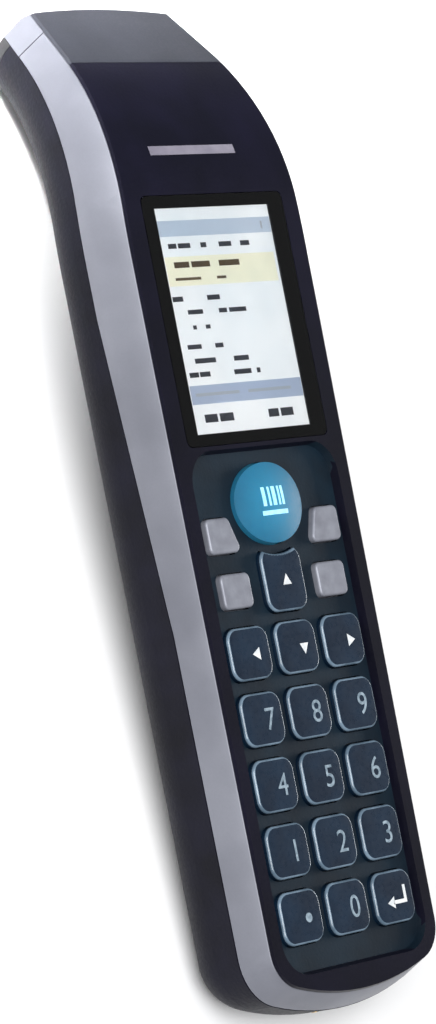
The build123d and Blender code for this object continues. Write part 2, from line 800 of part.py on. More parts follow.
block_tail_y = -tail_reach + band_wall + skirt_wall + 4 * fit_gap
save("contact_block", block(contact_block_width, block_tail_y, board_tail_y - fit_gap,
                            board_low - contact_block_height, board_low))
contacts = Part()
for index in range(contact_count):
    contacts += contact_rod(index, contact_r, -tail_reach + contact_sink, block_tail_y)
save("charge_contacts", contacts)


def under_board(size, place):
    x_size, y_size, z_size = size
    x, y = place
    return block(x_size, y - y_size / 2, y + y_size / 2, board_low - z_size, board_low, x)


save("radio_module", under_board(radio_size, radio_at))
save("shield_can", under_board(shield_size, shield_at))
save("coin_cell", rod(cell_at[0], cell_at[1], board_low - cell_thick, board_low, cell_r))
antenna_x, antenna_y, antenna_z = antenna_size
save("antenna", block(antenna_x, antenna_at[1] - antenna_y / 2, antenna_at[1] + antenna_y / 2,
                      board_top, board_top + antenna_z, antenna_at[0]))
save("buzzer", rod(buzzer_at[0], buzzer_at[1], shell_wall, shell_wall + buzzer_thick, buzzer_r))

# ---- vibration motor -----------------------------------------------------
motor_z = shell_wall + weight_r + weight_gap


def along_x(x_low, x_high, radius):
    return Pos((x_low + x_high) / 2, motor_at[1], motor_z) * Rot(0, 90, 0) * Cylinder(radius, x_high - x_low)


motor_low = motor_at[0] - motor_length / 2
motor_high = motor_at[0] + motor_length / 2
motor = along_x(motor_low, motor_high, motor_r)
motor += block(motor_length, motor_at[1] - motor_r, motor_at[1] + motor_r, shell_wall, motor_z, motor_at[0])
motor -= along_x(motor_high - motor_shaft_grip - running_gap, motor_high, motor_shaft_r + running_gap)
save("vibration_motor", motor)
weight_low = motor_high + weight_gap
weight = along_x(weight_low, weight_low + weight_length, weight_r)
weight -= block(weight_length, motor_at[1] - weight_r, motor_at[1] + weight_r, motor_z + motor_shaft_r,
                motor_z + 2 * weight_r, weight_low + weight_length / 2)
weight += along_x(motor_high - motor_shaft_grip, weight_low + weight_length, motor_shaft_r)
save("motor_weight", weight)

# ---- battery cover, its pad and latch ------------------------------------
cover_half = bay_half - cover_gap
knob_x, knob_y, knob_z = latch_knob
stem_x, stem_y = latch_stem
plate_x, plate_y, plate_z = latch_plate
stem_low_y = cover_tail_y + latch_end + latch_travel + latch_gap
knob_low_y = stem_low_y + stem_y / 2 - knob_y / 2 + latch_gap
plate_low_y = cover_tail_y + latch_gap * 2
cover = block(2 * cover_half, cover_tail_y, cover_head_y, 0, cover_thick) & outer
for side in (-1, 1):
    cover += block(hook_width, cover_head_y - hook_root, cover_head_y - cover_gap, cover_thick / 2,
                   shell_wall + fit_gap + hook_thick, side * hook_x)
    cover += block(hook_width, cover_head_y - hook_root, cover_head_y + hook_reach, shell_wall + fit_gap,
                   shell_wall + fit_gap + hook_thick, side * hook_x)
cover -= block(knob_x + 2 * latch_gap, knob_low_y - latch_travel - latch_gap, knob_low_y + knob_y + latch_gap,
               -1, latch_recess)
cover -= block(stem_x + 2 * latch_gap, stem_low_y - latch_travel - latch_gap, stem_low_y + stem_y + latch_gap,
               0, body_thick)
save("battery_cover", cover)
pad = block(2 * (cover_half - bay_gap), battery_tail_y, battery_head_y, cover_thick, cover_thick + pad_thick)
pad -= block(2 * (cover_half - bay_gap - pad_width), battery_tail_y + pad_width, battery_head_y - pad_width,
             0, body_thick)
save("cover_pad", pad)
latch = block(knob_x, knob_low_y, knob_low_y + knob_y, latch_ridge, knob_z)
for index in range(3):
    ridge_y = knob_low_y + knob_y * (index + 0.5) / 3
    latch += block(knob_x - 2 * latch_ridge, ridge_y - latch_ridge, ridge_y + latch_ridge, 0, knob_z)
latch += block(stem_x, stem_low_y, stem_low_y + stem_y, latch_ridge, cover_thick + 3 * latch_lift + plate_z)
latch += block(plate_x, plate_low_y, plate_low_y + plate_y, cover_thick + 3 * latch_lift,
               cover_thick + 3 * latch_lift + plate_z)
save("cover_latch", latch)

# ---- screws --------------------------------------------------------------
screws = Part()
for screw_x, screw_y, seat_z in screw_places:
    driver = Pos(screw_x, screw_y, seat_z - screw_head_thick) * RegularPolygon(screw_r, 6)
    screw = rod(screw_x, screw_y, seat_z - screw_head_thick, seat_z, screw_head_r)
    screw -= extrude(driver, amount=screw_head_thick / 2)
    screws += screw + rod(screw_x, screw_y, seat_z, seat_z + screw_length, screw_r)
save("housing_screws", screws)

# ---- scan engine ---------------------------------------------------------
def scan_rod(x, down_low, down_high, back, radius):
    """Rod standing down the scan face's own direction."""
    local = Pos(x, (down_low + down_high) / 2, -back) * Rot(90, 0, 0) * Cylinder(radius, down_high - down_low)
    return scan_frame.from_local_coords(local)


window_width, window_height = window_size
save("scan_window", scan_block(window_width, window_down - window_height / 2, window_down + window_height / 2,
                               aperture_thick, aperture_thick + window_glass))
top_down, floor_down = engine_down
front_back, rear_back = engine_back
chassis = scan_block(engine_width, top_down, floor_down, front_back, rear_back)
chassis -= scan_block(engine_width - 2 * engine_wall, top_down - 1, floor_down - engine_wall,
                      front_back - 1, rear_back - engine_wall)
save("scan_chassis", chassis)
save("scan_board", scan_block(engine_width, top_down - engine_wall, top_down, front_back, rear_back))
floor_top = floor_down - engine_wall
laser_local = Pos(laser_x, laser_down, -(front_back + cradle_margin + laser_length / 2)) * Cylinder(
    laser_r, laser_length)
laser = scan_frame.from_local_coords(laser_local)
laser += scan_block(2 * laser_r, laser_down, floor_top, front_back + cradle_margin,
                    front_back + cradle_margin + laser_length, laser_x)
save("laser_module", laser)
save("mirror_pin", scan_rod(mirror_x, mirror_top - engine_wall, floor_top, mirror_back, mirror_pin_r))
mirror = scan_block(mirror_width, mirror_top, mirror_top + mirror_height, mirror_back - mirror_hub_r,
                    mirror_back - mirror_hub_r + mirror_thick, mirror_x)
mirror += scan_rod(mirror_x, mirror_top, mirror_top + mirror_height, mirror_back, mirror_hub_r)
mirror -= scan_rod(mirror_x, 0, far_run, mirror_back, mirror_pin_r + running_gap)
save("scan_mirror", mirror)
collector = scan_block(collector_width, floor_top - collector_height, floor_top,
                       rear_back - engine_wall - collector_thick, rear_back - engine_wall, mirror_x - engine_wall)
bowl = Pos(mirror_x - engine_wall, floor_top - collector_height / 2,
           -(rear_back - engine_wall - collector_thick / 2) + collector_curve) * Sphere(collector_curve)
save("collector_mirror", collector - scan_frame.from_local_coords(bowl))
sensor_x, sensor_y, sensor_z = sensor_size
save("photo_sensor", scan_block(sensor_x, laser_down, laser_down + sensor_y, front_back + cradle_margin,
                                front_back + cradle_margin + sensor_z,
                                engine_width / 2 - engine_wall - sensor_x / 2))
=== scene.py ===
import json
import math

import bmesh
import bpy
from mathutils import Matrix, Vector
from mathutils.bvhtree import BVHTree

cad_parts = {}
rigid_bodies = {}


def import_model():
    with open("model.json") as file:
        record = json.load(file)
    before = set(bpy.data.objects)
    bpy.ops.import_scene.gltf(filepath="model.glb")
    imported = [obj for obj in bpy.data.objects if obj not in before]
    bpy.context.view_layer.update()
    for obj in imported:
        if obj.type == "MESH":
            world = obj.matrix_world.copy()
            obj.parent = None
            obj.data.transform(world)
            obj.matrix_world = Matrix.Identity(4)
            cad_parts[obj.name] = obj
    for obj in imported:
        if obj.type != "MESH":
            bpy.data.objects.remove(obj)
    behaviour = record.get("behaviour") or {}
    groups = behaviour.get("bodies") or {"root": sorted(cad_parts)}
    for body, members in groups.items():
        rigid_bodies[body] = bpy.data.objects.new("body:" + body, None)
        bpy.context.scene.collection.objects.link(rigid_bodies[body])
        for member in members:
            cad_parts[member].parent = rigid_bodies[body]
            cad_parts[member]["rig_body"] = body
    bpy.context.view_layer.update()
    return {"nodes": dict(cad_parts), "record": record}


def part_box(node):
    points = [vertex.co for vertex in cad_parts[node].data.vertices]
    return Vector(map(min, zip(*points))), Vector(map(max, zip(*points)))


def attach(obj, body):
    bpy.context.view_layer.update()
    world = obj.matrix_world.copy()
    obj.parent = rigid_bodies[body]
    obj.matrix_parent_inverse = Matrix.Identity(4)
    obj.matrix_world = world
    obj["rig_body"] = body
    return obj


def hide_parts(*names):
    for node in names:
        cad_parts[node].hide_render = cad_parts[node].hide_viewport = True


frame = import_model()
nodes = frame["nodes"]
mm = 0.001
print("loaded", len(nodes), "parts of the terminal")


def toLinear(hexColour):
    channels = [int(hexColour[i:i + 2], 16) / 255 for i in (1, 3, 5)]
    return tuple(c / 12.92 if c <= 0.04045 else ((c + 0.055) / 1.055) ** 2.4
                 for c in channels) + (1.0,)


def addNode(tree, kind, settings=None, links=None):
    node = tree.nodes.new(kind)
    for name, value in (settings or {}).items():
        if isinstance(name, int) or name in node.inputs:
            node.inputs[name].default_value = value
        else:
            setattr(node, name, value)
    for name, source in (links or {}).items():
        tree.links.new(source, node.inputs[name])
    return node


# every finish: its colour and the shade it drifts to, how glossy it is, and in millimetres the
# size of its grain, the depth of its bump and the distance over which the colour drifts
finishValues = {
    # spark-eroded ABS: a fine matt grain that breaks up the light on the grip
    "sparkErodedAbs": {
        "colour": "#131322", "shade": "#0b0b16", "rough": 0.5, "ior": 1.54, "specular": 0.15,
        "grain": 0.55, "bump": 0.09, "drift": 9.0, "roughDrift": 0.1},
    # satin moulded ABS: near black, smooth enough to carry soft highlights across the face
    "satinMouldedAbs": {
        "colour": "#100f20", "shade": "#0a0a17", "rough": 0.34, "ior": 1.54, "specular": 0.16,
        "grain": 0.5, "bump": 0.015, "drift": 14.0, "roughDrift": 0.08},
    # the same ABS with a grain and a teal tint, so that the bed of the keypad looks duller
    "tealGrainedAbs": {
        "colour": "#10222f", "shade": "#0b1823", "rough": 0.42, "ior": 1.54, "specular": 0.3,
        "grain": 0.5, "bump": 0.03, "drift": 8.0, "roughDrift": 0.08},
    # silver lacquer on ABS: aluminium flake under a clear coat, bright where it faces the light
    "silverLacquer": {
        "colour": "#858791", "shade": "#747680", "rough": 0.5, "ior": 1.5, "metal": 0.35,
        "coat": 0.12, "coatRough": 0.4, "grain": 0.35, "bump": 0.006, "drift": 18.0,
        "roughDrift": 0.08},
    # grey lacquer on ABS: matt, with only a broad weak shine on the cap over the aerial
    "greyLacquer": {
        "colour": "#3c3e46", "shade": "#33353c", "rough": 0.6, "ior": 1.5, "specular": 0.2,
        "grain": 0.4, "bump": 0.012, "drift": 16.0, "roughDrift": 0.08},
    # moulded polycarbonate frame round the scan window: black, lightly grained
    "grainedPolycarbonate": {
        "colour": "#1d1d22", "shade": "#141418", "rough": 0.42, "ior": 1.58,
        "grain": 0.45, "bump": 0.03, "drift": 7.0, "roughDrift": 0.1},
    # red acrylic filter in front of the laser: glossy, and dark because so little gets through
    "redFilterAcrylic": {
        "colour": "#6a1219", "shade": "#4a0c12", "rough": 0.06, "ior": 1.49, "through": 0.35,
        "coat": 0.5, "coatRough": 0.03, "grain": 3.0, "bump": 0.003, "drift": 12.0,
        "roughDrift": 0.02},
    # moulded silicone seal: soft and dusty grey-black
    "blackSilicone": {
        "colour": "#202022", "shade": "#2b2b2d", "rough": 0.75, "ior": 1.43,
        "grain": 0.8, "bump": 0.03, "drift": 5.0, "roughDrift": 0.1},
    # blackened steel screws: a thin oxide with bare spots worn through
    "blackenedSteel": {
        "colour": "#55555a", "shade": "#2b2b2e", "rough": 0.38, "metal": 1.0,
        "grain": 0.4, "bump": 0.02, "drift": 1.6, "roughDrift": 0.2},
    # hard-coated acrylic lens over the display: clear, its reflections very slightly wavy
    "hardCoatedAcrylic": {
        "colour": "#ffffff", "shade": "#f4f8fa", "rough": 0.03, "ior": 1.49, "through": 1.0,
        "grain": 12.0, "bump": 0.004, "drift": 20.0, "roughDrift": 0.02},
    # die-cut foam gasket round the display: dull black that hides the gap under the lens
    "blackFoam": {
        "colour": "#14141f", "shade": "#181824", "rough": 0.8, "ior": 1.4,
        "grain": 0.5, "bump": 0.04, "drift": 4.0, "roughDrift": 0.05},
    # liquid-crystal panel lit from behind: milky white with a cool cast
    "litPanel": {
        "colour": "#c0c5c8", "shade": "#b8bec2", "rough": 0.35, "ior": 1.52, "glow": 0.7,
        "glowColour": "#f3f6f8", "grain": 0.35, "bump": 0.002, "drift": 10.0,
        "roughDrift": 0.05},
    # glass-filled nylon frame: pale grey with a fibrous surface
    "glassFilledNylon": {
        "colour": "#8f8f8c", "shade": "#7b7b78", "rough": 0.6, "ior": 1.53,
        "grain": 0.9, "bump": 0.03, "drift": 4.0, "roughDrift": 0.1, "stretch": (1, 4, 1)},
    # polyimide flex: amber film with a low gloss
    "amberPolyimide": {
        "colour": "#b4692a", "shade": "#94501c", "rough": 0.3, "ior": 1.7,
        "grain": 1.2, "bump": 0.01, "drift": 3.0, "roughDrift": 0.1, "stretch": (6, 1, 1)},
    # polyester sheet over the snap domes: clear film, hazy where it is glued
    "hazyPolyester": {
        "colour": "#c9cdd0", "shade": "#aeb4b8", "rough": 0.4, "ior": 1.64,
        "grain": 1.5, "bump": 0.01, "drift": 10.3, "roughDrift": 0.15},
    # shrink film round the battery: glossy with slight wrinkles
    "shrinkFilm": {
        "colour": "#2f4f8a", "shade": "#27427a", "rough": 0.25, "ior": 1.5,
        "grain": 4.0, "bump": 0.06, "drift": 16.0, "roughDrift": 0.08},
    # gold-flashed phosphor bronze contacts: warm and bright, with small dull patches
    "goldFlashedBronze": {
        "colour": "#d8b261", "shade": "#b98f45", "rough": 0.24, "metal": 1.0,
        "grain": 0.5, "bump": 0.01, "drift": 2.0, "roughDrift": 0.12},
    # tin-plated steel can: pale, with faint lines from rolling
    "tinnedSteel": {
        "colour": "#c5c6c4", "shade": "#a9aaa8", "rough": 0.32, "metal": 1.0,
        "grain": 0.8, "bump": 0.01, "drift": 6.0, "roughDrift": 0.12, "stretch": (1, 12, 1)},
    # fired ceramic aerial: chalky, off white
    "firedCeramic": {
        "colour": "#e6e1d2", "shade": "#d3ccba", "rough": 0.7, "ior": 1.65,
        "grain": 0.4, "bump": 0.02, "drift": 1.5, "roughDrift": 0.1},
    # moulded phenolic buzzer case: a dead black with little shine
    "blackPhenolic": {
        "colour": "#19191b", "shade": "#232325", "rough": 0.5, "ior": 1.6,
        "grain": 0.4, "bump": 0.02, "drift": 3.0, "roughDrift": 0.1},
    # drawn steel motor can: bright, with lengthwise lines
    "drawnSteel": {
        "colour": "#b4b6ba", "shade": "#96989c", "rough": 0.28, "metal": 1.0,
        "grain": 0.6, "bump": 0.008, "drift": 3.0, "roughDrift": 0.12,
        "stretch": (1, 10, 10)},
    # sintered tungsten weight: dark and slightly pitted
    "sinteredTungsten": {
        "colour": "#7a7876", "shade": "#5e5c5a", "rough": 0.5, "metal": 1.0,
        "grain": 0.35, "bump": 0.03, "drift": 1.2, "roughDrift": 0.15},
    # acetal latch: waxy grey that slides without grease
    "waxyAcetal": {
        "colour": "#5a5a60", "shade": "#4c4c52", "rough": 0.45, "ior": 1.48,
        "grain": 0.7, "bump": 0.015, "drift": 3.0, "roughDrift": 0.08},
    # die-cast zinc chassis of the scan engine: grey and cloudy with flow marks
    "diecastZinc": {
        "colour": "#8d9094", "shade": "#777a7e", "rough": 0.45, "metal": 0.9,
        "grain": 1.2, "bump": 0.04, "drift": 4.0, "roughDrift": 0.15},
    # turned brass barrel of the laser: yellow, with rings from the tool
    "turnedBrass": {
        "colour": "#c9a253", "shade": "#ab8540", "rough": 0.3, "metal": 1.0,
        "grain": 0.5, "bump": 0.01, "drift": 2.0, "roughDrift": 0.12, "stretch": (1, 8, 1)},
    # evaporated aluminium on the front of the glass: a clean mirror
    "aluminisedGlass": {
        "colour": "#e9eef2", "shade": "#dde3e8", "rough": 0.04, "metal": 1.0,
        "grain": 2.0, "bump": 0.001, "drift": 3.0, "roughDrift": 0.02},
    # collecting mirror, moulded and then coated: gold-tinted, and softer than glass
    "tintedCollector": {
        "colour": "#e2d6b6", "shade": "#cfc29d", "rough": 0.1, "metal": 1.0,
        "grain": 2.0, "bump": 0.003, "drift": 4.0, "roughDrift": 0.04},
    # epoxy over the light sensor: glossy violet black
    "violetEpoxy": {
        "colour": "#1a1420", "shade": "#120e18", "rough": 0.15, "ior": 1.55,
        "grain": 1.0, "bump": 0.005, "drift": 2.0, "roughDrift": 0.05},
    # hard-coated polycarbonate keycaps: dark blue with a soft gloss
    "inkyPolycarbonate": {
        "colour": "#11273c", "shade": "#0b1d30", "rough": 0.3, "ior": 1.58, "specular": 0.4,
        "coat": 0.1, "coatRough": 0.15, "grain": 0.6, "bump": 0.008, "drift": 6.0,
        "roughDrift": 0.08},
    # the rounded rims of the keycaps, lighter: a painted highlight where they catch the light
    "polishedRim": {
        "colour": "#7d93a6", "shade": "#566a7b", "rough": 0.26, "ior": 1.58, "coat": 0.3,
        "coatRough": 0.1, "grain": 0.6, "bump": 0.008, "drift": 4.0, "roughDrift": 0.1},
    # silver-grey lacquer on the four soft keys: little flake, paler than the side band
    "paleSilverLacquer": {
        "colour": "#989ba6", "shade": "#868893", "rough": 0.45, "ior": 1.5, "metal": 0.25,
        "grain": 0.35, "bump": 0.01, "drift": 3.0, "roughDrift": 0.1},
    # translucent silicone scan key: blue, a painted highlight on its dome, a faint painted glow
    "tintedSilicone": {
        "colour": "#165c7e", "shade": "#105172", "rough": 0.5, "ior": 1.43, "soft": 0.3,
        "coat": 0.05, "coatRough": 0.3, "glow": 0.08, "glowColour": "#4cc4ee",
        "spot": {"colour": "#3187ac", "middle": (0, 18.1, 18.0), "radius": 8.5},
        "grain": 0.6, "bump": 0.01, "drift": 5.0, "roughDrift": 0.1},
    # pad-printed ink of the digits: pale blue-grey, a little broken up on the grain under it
    "padPrintedInk": {
        "colour": "#9fb1be", "shade": "#6f8290", "rough": 0.5, "ior": 1.48,
        "grain": 0.5, "bump": 0.01, "drift": 0.8, "roughDrift": 0.1},
    # white ink of the arrows: thicker, so it covers better
    "whitePadInk": {
        "colour": "#f4f6f7", "shade": "#dce2e6", "rough": 0.45, "ior": 1.48,
        "grain": 0.5, "bump": 0.01, "drift": 0.8, "roughDrift": 0.1},
    # silver ink of the bar on the head: a dull metal shimmer
    "silverPadInk": {
        "colour": "#8f8b98", "shade": "#7c7886", "rough": 0.4, "ior": 1.48, "metal": 0.3,
        "grain": 0.5, "bump": 0.01, "drift": 6.0, "roughDrift": 0.1},
    # mark moulded into the scan key: pale blue, with a painted glow
    "glowingInk": {
        "colour": "#a6e4fb", "shade": "#8fd8f6", "rough": 0.35, "ior": 1.43, "glow": 0.5,
        "glowColour": "#a6e4fb", "grain": 0.5, "bump": 0.005, "drift": 1.0,
        "roughDrift": 0.1},
    # laminated board of the floor: matt and pale with a hint of mottle
    "paleLaminate": {
        "colour": "#f6f6f6", "shade": "#f5f5f6", "rough": 0.7, "ior": 1.46, "speckle": 0.02,
        "grain": 3.0, "bump": 0.02, "drift": 60.0, "roughDrift": 0.05},
}

# what the finishes share, unless one of them says otherwise
commonValues = {
    "stretch": (1, 1, 1), "driftDetail": 3.0, "shadeUpTo": 0.35, "colourFrom": 0.65,
    "grainDetail": 2.0, "grainLow": 0.3, "grainHigh": 0.7, "speckle": 0.12,
    "bumpStrength": 0.6, "leastRough": 0.01, "specular": 0.5, "metal": 0.0, "coat": 0.0,
    "coatRough": 0.03, "through": 0.0, "soft": 0.0, "softDepth": 1.5, "glow": 0.0,
    "glowColour": "#ffffff"}


def emptyFinish(name):
    finish = bpy.data.materials.new(name)
    finish.use_nodes = True
    finish.node_tree.nodes.clear()
    return finish


def makeFinish(name, ownValues):
    values = {**commonValues, **ownValues}
    finish = emptyFinish(name)
    tree = finish.node_tree
    place = addNode(tree, "ShaderNodeTexCoord").outputs["Object"]
    stretched = addNode(tree, "ShaderNodeMapping", {"Scale": values["stretch"]},
                        {"Vector": place}).outputs["Vector"]
    drift = addNode(tree, "ShaderNodeTexNoise",
                    {"Scale": 1 / (values["drift"] * mm), "Detail": values["driftDetail"]},
                    {"Vector": stretched}).outputs["Fac"]
    grain = addNode(tree, "ShaderNodeTexNoise",
                    {"Scale": 1 / (values["grain"] * mm), "Detail": values["grainDetail"]},
                    {"Vector": stretched}).outputs["Fac"]
    colour = addNode(tree, "ShaderNodeValToRGB", None, {"Fac": drift})
    shadeEnd, colourEnd = colour.color_ramp.elements
    shadeEnd.position = values["shadeUpTo"]
    shadeEnd.color = toLinear(values["shade"])
    colourEnd.position = values["colourFrom"]
    colourEnd.color = toLinear(values["colour"])
    tint = colour.outputs["Color"]
    if "spot" in values:
        # lighter round one point: a painted highlight
        spot = values["spot"]
        size = spot["radius"] * mm
        centred = addNode(tree, "ShaderNodeMapping",
                          {"Location": [-c * mm / size for c in spot["middle"]],
                           "Scale": (1 / size,) * 3}, {"Vector": place})
        fall = addNode(tree, "ShaderNodeTexGradient", {"gradient_type": "SPHERICAL"},
                       {"Vector": centred.outputs["Vector"]})
        tint = addNode(tree, "ShaderNodeMix", {"data_type": "RGBA", 7: toLinear(spot["colour"])},
                       {0: fall.outputs["Fac"], 6: tint}).outputs[2]
    speckled = addNode(tree, "ShaderNodeMix",
                       {"data_type": "RGBA", "blend_type": "MULTIPLY", 0: values["speckle"]},
                       {6: tint, 7: grain})
    spread = values["roughDrift"] / 2
    rough = addNode(tree, "ShaderNodeMapRange",
                    {"From Min": values["grainLow"], "From Max": values["grainHigh"],
                     "To Min": max(values["rough"] - spread, values["leastRough"]),
                     "To Max": values["rough"] + spread}, {"Value": grain})
    bump = addNode(tree, "ShaderNodeBump",
                   {"Strength": values["bumpStrength"], "Distance": values["bump"] * mm},
                   {"Height": grain})
    settings = {"Metallic": values["metal"], "Coat Weight": values["coat"],
                "Coat Roughness": values["coatRough"], "Transmission Weight": values["through"],
                "Subsurface Weight": values["soft"],
                "Subsurface Scale": values["softDepth"] * mm,
                "Emission Strength": values["glow"],
                "Emission Color": toLinear(values["glowColour"])}
    if "ior" in values:  # a metal keeps the shader's own
        settings["IOR"] = values["ior"]
        settings["Specular IOR Level"] = values["specular"]
    shader = addNode(tree, "ShaderNodeBsdfPrincipled", settings,
                     {"Base Color": speckled.outputs[2], "Roughness": rough.outputs[0],
                      "Normal": bump.outputs[0]})
    addNode(tree, "ShaderNodeOutputMaterial", None, {"Surface": shader.outputs[0]})
    return finish


finishes = {name: makeFinish(name, values) for name, values in finishValues.items()}

# circuit board: green solder mask over glass fibre, its copper tracks showing as lighter lines
# and its bare pads as gold dots; the pitches and the bump are in millimetres
boardValues = {
    "mask": "#1c5a3a", "track": "#3c8a55", "pad": "#c9a24e", "rough": 0.28, "ior": 1.55,
    "tilePitch": 6.4, "trackWidth": 0.14, "trackBlur": 0.1, "tileWidth": 0.9, "tileHeight": 0.25,
    "padPitch": 4.1, "padSize": 0.2, "bump": 0.03, "bumpStrength": 0.5}


def makeSolderMask(values):
    finish = emptyFinish("solderMask")
    tree = finish.node_tree
    place = addNode(tree, "ShaderNodeTexCoord").outputs["Object"]
    tracks = addNode(tree, "ShaderNodeTexBrick",
                     {"Scale": 1 / (values["tilePitch"] * mm),
                      "Mortar Size": values["trackWidth"], "Mortar Smooth": values["trackBlur"],
                      "Brick Width": values["tileWidth"], "Row Height": values["tileHeight"],
                      "Color1": toLinear(values["mask"]), "Color2": toLinear(values["mask"]),
                      "Mortar": toLinear(values["track"])}, {"Vector": place})
    cells = addNode(tree, "ShaderNodeTexVoronoi", {"Scale": 1 / (values["padPitch"] * mm)},
                    {"Vector": place})
    pads = addNode(tree, "ShaderNodeMath", {"operation": "LESS_THAN", 1: values["padSize"]},
                   {0: cells.outputs["Distance"]})
    colour = addNode(tree, "ShaderNodeMix", {"data_type": "RGBA", 7: toLinear(values["pad"])},
                     {0: pads.outputs[0], 6: tracks.outputs["Color"]})
    bump = addNode(tree, "ShaderNodeBump",
                   {"Strength": values["bumpStrength"], "Distance": values["bump"] * mm},
                   {"Height": tracks.outputs["Fac"]})
    shader = addNode(tree, "ShaderNodeBsdfPrincipled",
                     {"IOR": values["ior"], "Roughness": values["rough"]},
                     {"Base Color": colour.outputs[2], "Metallic": pads.outputs[0],
                      "Normal": bump.outputs[0]})
    addNode(tree, "ShaderNodeOutputMaterial", None, {"Surface": shader.outputs[0]})
    return finish


finishes["solderMask"] = makeSolderMask(boardValues)

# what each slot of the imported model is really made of
slotFinish = {
    "rear_shell": "sparkErodedAbs", "front_face": "satinMouldedAbs",
    "silver_band": "silverLacquer", "scan_bezel": "grainedPolycarbonate",
    "scan_glass": "redFilterAcrylic", "head_cap": "greyLacquer", "seal_rubber": "blackSilicone",
    "screw_steel": "blackenedSteel", "display_glass": "hardCoatedAcrylic",
    "mask_black": "blackFoam", "lcd_panel": "litPanel", "frame_plastic": "glassFilledNylon",
    "flex_film": "amberPolyimide", "dome_film": "hazyPolyester", "circuit_board": "solderMask",
    "battery_case": "shrinkFilm", "contact_brass": "goldFlashedBronze",
    "shield_steel": "tinnedSteel", "antenna_ceramic": "firedCeramic",
    "buzzer_black": "blackPhenolic", "motor_steel": "drawnSteel",
    "motor_weight": "sinteredTungsten", "latch_plastic": "waxyAcetal",
    "scan_chassis": "diecastZinc", "laser_brass": "turnedBrass",
    "scan_mirror": "aluminisedGlass", "collector_mirror": "tintedCollector",
    "sensor_black": "violetEpoxy", "key_dark": "inkyPolycarbonate",
    "key_grey": "paleSilverLacquer", "key_blue": "tintedSilicone"}
slotOf = {part["node"]: part["material_slot"] for part in frame["record"]["subparts"]}
for nodeName, node in nodes.items():
    node.material_slots[0].material = finishes[slotFinish[slotOf[nodeName]]]
print("finishes on", len(nodes), "parts")


def addObject(name, data):
    made = bpy.data.objects.new(name, data)
    bpy.context.scene.collection.objects.link(made)
    return made


def addPiece(name, mesh, body):
    piece = addObject(name, mesh)
    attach(piece, body)
    return piece


def meshFrom(name, shape, finishNames):
    mesh = bpy.data.meshes.new(name)
    shape.to_mesh(mesh)
    shape.free()
    for finishName in finishNames:
        mesh.materials.append(finishes[finishName])
    return mesh


# outer shells: the radius of a moulded edge in millimetres, how near vertices are to be merged,
# and in degrees what still counts as flat, as a sharp edge and as a crease in the shading
shellValues = {
    "edgeRadius": {"head_cap": 0.5, "side_band": 0.25, "nose_trim": 0.25, "scan_bezel": 0.2,
                   "battery_cover": 0.25},
    "edgeSteps": 3, "mergeWithin": 0.003, "flatAngle": 0.5, "sharpAngle": 35, "creaseAngle": 28}


def joinedCopy(nodeName):
    # the part's triangles, merged where they meet
    shape = bmesh.new()
    shape.from_mesh(nodes[nodeName].data)
    bmesh.ops.remove_doubles(shape, verts=shape.verts, dist=shellValues["mergeWithin"] * mm)
    return shape


def standIn(nodeName, suffix, shape, finishNames):
    # puts the worked copy in the place of the part, shaded smooth between its creases
    mesh = meshFrom(nodeName + suffix, shape, finishNames)
    if "custom_normal" in mesh.attributes:
        mesh.attributes.remove(mesh.attributes["custom_normal"])
    mesh.shade_smooth()
    mesh.set_sharp_from_angle(angle=math.radians(shellValues["creaseAngle"]))
    piece = addPiece(nodeName + suffix, mesh, nodes[nodeName]["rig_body"])
    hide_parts(nodeName)
    print(piece.name, "has", len(mesh.polygons), "faces")


def softenedShell(nodeName, width):
    # a copy whose sharp edges are rounded as a mould leaves them
    shape = joinedCopy(nodeName)
    bmesh.ops.dissolve_limit(shape, verts=shape.verts, edges=shape.edges,
                             angle_limit=math.radians(shellValues["flatAngle"]))
    sharp = math.radians(shellValues["sharpAngle"])
    edges = [e for e in shape.edges if len(e.link_faces) == 2 and e.calc_face_angle() > sharp]
    bmesh.ops.bevel(shape, geom=edges, offset=width * mm, offset_type="OFFSET", affect="EDGES",
                    segments=shellValues["edgeSteps"], profile=0.5, material=-1,
                    clamp_overlap=True)
    standIn(nodeName, "_softened", shape, [slotFinish[slotOf[nodeName]]])


def dressedShell(nodeName, finishNames, chooseFinish):
    # a copy whose faces carry more than one finish
    shape = joinedCopy(nodeName)
    for face in shape.faces:
        face.material_index = chooseFinish(face)
    standIn(nodeName, "_dressed", shape, finishNames)


for nodeName, width in shellValues["edgeRadius"].items():
    softenedShell(nodeName, width)

# front housing: satin face, with the grained teal bed of the keypad inside these limits
keypadBed = {"halfWidth": 16.95, "tailY": -54.5, "headY": 26.7, "lowZ": 16.5, "highZ": 17.93}


def onKeypadBed(face):
    x, y, z = face.calc_center_median() / mm
    inside = abs(x) < keypadBed["halfWidth"] and keypadBed["tailY"] < y < keypadBed["headY"]
    return int(inside and keypadBed["lowZ"] < z < keypadBed["highZ"])


dressedShell("front_housing", ["satinMouldedAbs", "tealGrainedAbs"], onKeypadBed)

# keycaps: dark tops inside a lighter rim, a painted highlight, which is above topZ and isn't level
keyRim = {"topNormal": 0.97, "topZ": 17.1}
digitKeys = {"key_%d" % digit: str(digit) for digit in range(10)}
# each arrow's turn in degrees, and how far to the right of its key's middle it is printed
arrowKeys = {"key_up": (0, 0.4), "key_left": (90, 1.5), "key_down": (180, 1.5),
             "key_right": (270, 1.5)}


def onKeyRim(face):
    high = face.calc_center_median().z > keyRim["topZ"] * mm
    return int(high and face.normal.z < keyRim["topNormal"])


for nodeName in [*digitKeys, *arrowKeys, "key_dot", "key_enter"]:
    dressedShell(nodeName, ["inkyPolycarbonate", "polishedRim"], onKeyRim)
print("keycaps dressed")

